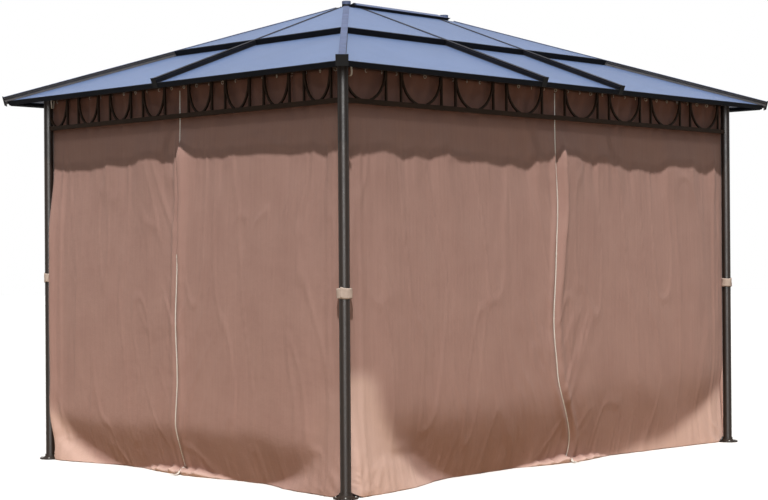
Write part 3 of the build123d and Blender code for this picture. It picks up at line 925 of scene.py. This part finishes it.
class GAZEBO_OT_hang_curtains(bpy.types.Operator):
    """Hang two wrinkled curtains on each side, tucked in above the hem and zipped together"""

    bl_idname = "gazebo.hang_curtains"
    bl_label = "Hang the curtains"

    def execute(self, context):
        curtains = context.scene.gazebo_curtains
        finishes = context.scene.gazebo_finishes
        cloth = cloth_material("curtain_weave", finishes.cloth, finishes.wear_and_painted_light, finishes.painted_shade, thread=0.0012)
        teeth = plastic_material("zip_plastic", finishes.plastic, roughness=0.5)
        for side in sides:
            zipper = self.fit_zip(side, curtains)
            finish_piece(zipper, side + "_zip", teeth)
            for half in hands:
                self.hang_half(side, half, curtains, cloth, [zipper] if half == "left" else [])
        return {"FINISHED"}

    def hang_half(self, side, half, curtains, cloth, with_pieces):
        """One curtain, from the track down to the ground."""
        drop = track_low
        width = half_span(side) - curtains.edge_gap
        columns = round(width / curtains.cell)
        rows = round(drop / curtains.cell)
        piece, across_share, drop_share = grid_piece(columns, rows)
        points, painted_light_and_shade = curtain_points(side, half, across_share, drop_share, curtains)
        set_points(piece, points)
        face_towards(piece, side_axes(side)[1])
        scale_uv(piece, width, drop)
        set_painted_light_and_shade(piece, painted_light_and_shade)
        bpy.ops.object.shade_smooth()
        apply_modifier(piece, "SOLIDIFY", thickness=curtains.cloth_thickness, offset=-1)
        finish_piece(piece, side + "_cloth_" + half, cloth)
        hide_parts(side + "_curtain_" + half + "_half")

    def fit_zip(self, side, curtains):
        """Teeth down the line where the halves meet, a slider, and two loose tape ends on the ground."""
        top = track_low - 0.03
        foot = 0.010
        proud = 0.0012
        tail_turns = (-0.45, 0.30)
        count = round((top - foot) / curtains.zip_pitch)
        heights = np.linspace(top, foot, count + 1)
        line = zip_line(side, heights)
        out = cloth_out(side, "right", line, heights, curtains)[0]
        path = place_on_side(side, line, out + proud, heights)
        outward = side_axes(side)[1]
        places = [self.along_path(path[index], path[index + 1], outward) for index in range(count)]
        chain = repeat(self.model_tooth(curtains), places)
        nearest = int(np.argmin(np.abs(heights - slider_heights[side])))
        slider = self.model_slider()
        slider.matrix_world = self.along_path(path[nearest], path[nearest + 1], outward)
        tails = [self.loose_end(side, path[-1], turn) for turn in tail_turns]
        return join([chain, slider] + tails)

    def along_path(self, start, end, outward):
        """Place of a piece whose Z runs from the end up to the start, with -Y to the outside."""
        start, end = Vector(start), Vector(end)
        up = (start - end).normalized()
        right = up.cross(outward).normalized() * -1
        inward = up.cross(right)
        turn = Matrix((right, inward, up)).transposed().to_4x4()
        return Matrix.Translation((start + end) / 2) @ turn

    def model_tooth(self, curtains):
        """One tooth, a little shorter than the pitch."""
        return block((curtains.zip_width, 0.0034, curtains.zip_pitch * 0.97), bevel=0.0009)

    def model_slider(self):
        """The slider's body with its pull below."""
        proud = -0.003
        body = block((0.015, 0.009, 0.020), (0, proud, 0), bevel=0.0014, segments=2)
        pull = block((0.009, 0.004, 0.034), (0, proud, -0.024), bevel=0.0014, segments=2)
        return join([body, pull])

    def loose_end(self, side, foot, turn):
        """A tape end that falls from the zip's foot and curls over the ground."""
        length = 0.06
        along, outward = side_axes(side)
        way = outward * math.cos(turn) + along * math.sin(turn)
        share = np.linspace(0, 1, 9)
        lift = np.interp(share, [0, 0.25, 0.7, 1], [0.026, 0.008, 0.004, 0.009])
        path = np.stack([foot[0] + way.x * share * length, foot[1] + way.y * share * length, lift], axis=-1)
        sideways = np.tile(np.array(way.cross(Vector((0, 0, 1)))), (len(share), 1))
        return ribbon(path, sideways, width=0.011, thickness=0.0012)


class GAZEBO_OT_hang_hooks(bpy.types.Operator):
    """Hang the rows of small rings on gliders in the curtain tracks"""

    bl_idname = "gazebo.hang_hooks"
    bl_label = "Hang the hooks"

    def execute(self, context):
        curtains = context.scene.gazebo_curtains
        plastic = plastic_material("hook_plastic", context.scene.gazebo_finishes.plastic, roughness=0.45)
        turns = np.random.default_rng(4)
        most_turn = 1.3
        from_post = 0.075
        places = []
        for side in sides:
            reach = half_span(side) - from_post
            count = round(2 * reach / curtains.hook_spacing)
            for across in np.linspace(-reach, reach, count + 1):
                spot = side_matrix(side, across, -curtains.hang_inset, track_low)
                places.append(spot @ Matrix.Rotation(turns.uniform(-most_turn, most_turn), 4, "Z"))
        hooks = repeat(self.model_hook(), places)
        finish_piece(hooks, "curtain_hooks", plastic)
        return {"FINISHED"}

    def model_hook(self):
        """A glider that runs in the track, a stem through the slot and a ring below it."""
        start_clean()
        bpy.ops.mesh.primitive_torus_add(
            location=(0, -0.003, -0.0125), rotation=(math.pi / 2, 0, 0),
            major_radius=0.0085, minor_radius=0.0018, major_segments=12, minor_segments=5)
        ring = bpy.context.object
        stem = cylinder(vertices=6, radius=0.0016, depth=0.010, height=-0.0005)
        glider = block((0.012, 0.009, 0.005), (0, 0, 0.0052))
        return join([ring, stem, glider])


class GAZEBO_OT_tie_ribbons(bpy.types.Operator):
    """Sling a loop of ribbon over the left end of each frieze's top rail"""

    bl_idname = "gazebo.tie_ribbons"
    bl_label = "Tie the ribbons"

    def execute(self, context):
        pale = context.scene.gazebo_finishes.plastic
        tape = cloth_material("ribbon_weave", pale, pale, pale, thread=0.0008)
        width = 0.012
        clear = 0.0012
        from_post = 0.016
        squareness = 0.35
        low = frieze_high.z - 0.072
        high = frieze_high.z + clear
        turn = np.linspace(0, 2 * math.pi, 33)
        out = (frieze_depth / 2 + clear) * np.sign(np.sin(turn)) * np.abs(np.sin(turn)) ** squareness
        height = (low + high) / 2 - (high - low) / 2 * np.cos(turn)
        swing = 0.006 * np.sin(turn) * (1 + np.cos(turn))
        for side in sides:
            along = np.array(side_axes(side)[0])
            across = -(half_span(side) - post_radius - from_post)
            path = place_on_side(side, across + swing, out, height)
            loop = ribbon(path, np.tile(along, (len(turn), 1)), width, thickness=0.001)
            finish_piece(loop, side + "_ribbon", tape)
        return {"FINISHED"}


class GAZEBO_OT_tie_posts(bpy.types.Operator):
    """Wrap a loose cloth tie round each post, with its end lapped over its start"""

    bl_idname = "gazebo.tie_posts"
    bl_label = "Tie the posts"

    def execute(self, context):
        finishes = context.scene.gazebo_finishes
        weave = cloth_material("tie_weave", finishes.tie, finishes.wear_and_painted_light, finishes.tie, thread=0.001)
        raised_corner = "back_left"
        raised = tie_high.z - tie_low.z - tie_width
        for corner, (sign_x, sign_y) in corners.items():
            middle = tie_low.z + tie_width / 2 + (raised if corner == raised_corner else 0)
            post = Vector((sign_x * post_x, sign_y * post_y, middle))
            band, length = self.wrap(post, math.atan2(sign_y, sign_x))
            finish_piece(band, "tie_" + corner, weave)
            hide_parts("tie_bands")
        return {"FINISHED"}

    def wrap(self, post, facing):
        """A band that goes once round and a little more, slack at the sides, with a creased face."""
        overlap = 1.1
        start_angle = facing + 0.5
        most_slack = 0.009
        clear = 0.0016
        face_width = tie_width - 0.006
        piece, along_share, side_share = grid_piece(columns=96, rows=8)
        turn = along_share * (2 * math.pi + overlap)
        angle = start_angle - turn
        slack = most_slack * np.abs(np.sin(angle - facing)) ** 2
        lift = 0.0021 * along_share * (1 + ease(0.85, 1, along_share))
        creases_out = 0.0012 * crumple(turn, side_share, width=0.35, height=0.4, seed=5)
        creases_out = creases_out * ease(0, 0.1, along_share)
        radius = post_radius + clear + slack + lift + creases_out
        sag = 0.0018 * waver(turn, width=0.6, seed=8) + 0.004 * ease(0.86, 1, along_share)
        narrowed = 1 - 0.10 * slack / most_slack
        height = post.z + (side_share - 0.5) * face_width * narrowed + sag
        points = [post.x + radius * np.cos(angle), post.y + radius * np.sin(angle), height]
        set_points(piece, np.stack(points, axis=-1))
        length = float(np.mean(radius) * turn.max())
        scale_uv(piece, length, tie_width)
        bpy.ops.object.shade_smooth()
        apply_modifier(piece, "SOLIDIFY", thickness=0.0014, offset=0)
        return piece, length


class GAZEBO_OT_bolt_feet(bpy.types.Operator):
    """Set four round-headed bolts with washers in each foot"""

    bl_idname = "gazebo.bolt_feet"
    bl_label = "Bolt the feet"

    def execute(self, context):
        fittings = context.scene.gazebo_curtains
        colour = context.scene.gazebo_finishes.steel
        steel = coat_material("bolt_steel", colour, roughness=0.38, specular=0.5, metallic=0.8)
        half = fittings.bolt_spacing / 2
        flange_top = foot_low + fittings.flange
        places = []
        for sign_x, sign_y in corners.values():
            for step_x in (-half, half):
                for step_y in (-half, half):
                    spot = (sign_x * post_x + step_x, sign_y * post_y + step_y, flange_top)
                    places.append(Matrix.Translation(spot))
        bolts = repeat(self.model_bolt(), places)
        finish_piece(bolts, "foot_bolts", steel)
        smooth(bolts)
        return {"FINISHED"}

    def model_bolt(self):
        """A washer under a domed head with a round socket."""
        socket_deep = 0.002
        upward = 0.9
        washer = cylinder(vertices=20, radius=0.0068, depth=0.0012, height=0.0006)
        head = cylinder(vertices=18, radius=0.0058, depth=0.0042, height=0.0033)
        bpy.ops.object.transform_apply(location=True, rotation=False, scale=False)
        bpy.ops.object.mode_set(mode="EDIT")
        bpy.ops.mesh.select_all(action="DESELECT")
        bpy.ops.object.mode_set(mode="OBJECT")
        for face in head.data.polygons:
            face.select = face.normal.z > upward
        bpy.ops.object.mode_set(mode="EDIT")
        bpy.ops.mesh.select_mode(type="FACE")
        bpy.ops.mesh.bevel(offset=0.0016, segments=3, affect="EDGES")
        bpy.ops.mesh.inset(thickness=0.0014)
        bpy.ops.mesh.extrude_region_move(TRANSFORM_OT_translate={"value": (0, 0, -socket_deep)})
        bpy.ops.object.mode_set(mode="OBJECT")
        return join([washer, head])


class GAZEBO_OT_set_stage(bpy.types.Operator):
    """Set up the pale floor, the light and the camera"""

    bl_idname = "gazebo.set_stage"
    bl_label = "Set the stage"

    def execute(self, context):
        stage = context.scene.gazebo_stage
        self.lay_floor()
        self.light(context, stage)
        self.place_camera(context, stage)
        context.scene.view_settings.view_transform = "Standard"
        return {"FINISHED"}

    def seen(self, tree):
        """1 for what the camera sees, straight or in gloss or glass, and 0 for light on the object."""
        path = tree.nodes.new("ShaderNodeLightPath")
        total = path.outputs["Is Camera Ray"]
        for name in ("Is Glossy Ray", "Is Transmission Ray"):
            total = calculate(tree, "MAXIMUM", total, path.outputs[name])
        return total

    def lay_floor(self):
        """A floor that looks white and throws a warm light up near the gazebo, and little further off."""
        warm = (0.46, 0.32, 0.18, 1)
        dull = (0.13, 0.12, 0.10, 1)
        white = (0.90, 0.90, 0.90, 1)
        warm_reach = (3.0, 6.0)
        start_clean()
        bpy.ops.mesh.primitive_plane_add(size=80)
        floor = bpy.context.object
        floor.name = "floor"
        material, tree, shader = new_material("pale_floor")
        distance = tree.nodes.new("ShaderNodeVectorMath")
        distance.operation = "LENGTH"
        feed(tree, distance.inputs[0], add_node(tree, "ShaderNodeTexCoord").outputs["Object"])
        away = spread(tree, distance.outputs["Value"], 0, 1, source=warm_reach)
        colours = mix_colours(tree, self.seen(tree), mix_colours(tree, away, warm, dull), white)
        set_inputs(tree, shader, Base_Color=colours, Roughness=0.9, Specular_IOR_Level=0.0)
        floor.data.materials.append(material)

    def light(self, context, stage):
        """A sky that lights, a white backdrop that is seen, a sun, and a soft lamp for gloss alone."""
        world = bpy.data.worlds.new("pale_sky")
        world.use_nodes = True
        tree = world.node_tree
        sky = tree.nodes["Background"]
        set_inputs(tree, sky, Color=(0.92, 0.97, 1.0, 1), Strength=stage.sky_strength)
        backdrop = add_node(tree, "ShaderNodeBackground", Color=(1, 1, 1, 1), Strength=1.0)
        choice = add_node(tree, "ShaderNodeMixShader", Fac=self.seen(tree))
        feed(tree, choice.inputs[1], sky.outputs["Background"])
        feed(tree, choice.inputs[2], backdrop.outputs["Background"])
        set_inputs(tree, tree.nodes["World Output"], Surface=choice.outputs["Shader"])
        context.scene.world = world
        sun_falls = (0.485, 0.467, -1.0)
        gloss_falls = (0.69, 0.71, -0.14)
        sun = self.add_lamp("key_light", sun_falls, stage.sun_strength, width=1.2)
        sun.data.color = (1.0, 0.97, 0.93)
        gloss = self.add_lamp("gloss_light", gloss_falls, stage.gloss_strength, width=40)
        gloss.visible_diffuse = False
        gloss.visible_transmission = False

    def add_lamp(self, name, falling, strength, width):
        """A far lamp whose light falls in a direction; width is its apparent size in degrees."""
        start_clean()
        bpy.ops.object.light_add(type="SUN")
        lamp = bpy.context.object
        lamp.name = name
        lamp.data.energy = strength
        lamp.data.angle = math.radians(width)
        lamp.rotation_euler = Vector(falling).to_track_quat("-Z", "Y").to_euler()
        return lamp

    def place_camera(self, context, stage):
        """A camera at its place, tilted, rolled and turned as the settings say."""
        start_clean()
        bpy.ops.object.camera_add(location=stage.camera_place)
        camera = bpy.context.object
        tilt, roll, turn = stage.camera_turn
        facing = Matrix.Rotation(-turn, 3, "Z") @ Matrix.Rotation(math.pi / 2 + tilt, 3, "X")
        camera.rotation_euler = (facing @ Matrix.Rotation(roll, 3, "Z")).to_euler()
        camera.data.sensor_fit = "HORIZONTAL"
        camera.data.sensor_width = 36
        camera.data.lens = stage.lens
        camera.data.clip_end = 200
        context.scene.camera = camera


class GAZEBO_PT_dressing(bpy.types.Panel):
    """Lists the pieces of the dressing in the order in which they are made"""

    bl_idname = "GAZEBO_PT_dressing"
    bl_label = "Gazebo dressing"
    bl_space_type = "VIEW_3D"
    bl_region_type = "UI"
    bl_category = "Gazebo"

    def draw(self, context):
        for operator in operators:
            self.layout.operator(operator.bl_idname)
        scene = context.scene
        for settings in (scene.gazebo_finishes, scene.gazebo_curtains, scene.gazebo_stage):
            for name in settings.__annotations__:
                self.layout.prop(settings, name)


operators = (
    GAZEBO_OT_paint_frame,
    GAZEBO_OT_hang_curtains,
    GAZEBO_OT_hang_hooks,
    GAZEBO_OT_tie_ribbons,
    GAZEBO_OT_tie_posts,
    GAZEBO_OT_bolt_feet,
    GAZEBO_OT_set_stage,
)
classes = (GazeboFinishes, GazeboCurtains, GazeboStage) + operators + (GAZEBO_PT_dressing,)


def register():
    for item in classes:
        bpy.utils.register_class(item)
    bpy.types.Scene.gazebo_finishes = bpy.props.PointerProperty(type=GazeboFinishes)
    bpy.types.Scene.gazebo_curtains = bpy.props.PointerProperty(type=GazeboCurtains)
    bpy.types.Scene.gazebo_stage = bpy.props.PointerProperty(type=GazeboStage)


def unregister():
    del bpy.types.Scene.gazebo_stage
    del bpy.types.Scene.gazebo_curtains
    del bpy.types.Scene.gazebo_finishes
    for item in reversed(classes):
        bpy.utils.unregister_class(item)


def main():
    register()
    bpy.ops.gazebo.paint_frame()
    bpy.ops.gazebo.hang_curtains()
    bpy.ops.gazebo.hang_hooks()
    bpy.ops.gazebo.tie_ribbons()
    bpy.ops.gazebo.tie_posts()
    bpy.ops.gazebo.bolt_feet()
    bpy.ops.gazebo.set_stage()


if __name__ == "__main__":
    main()
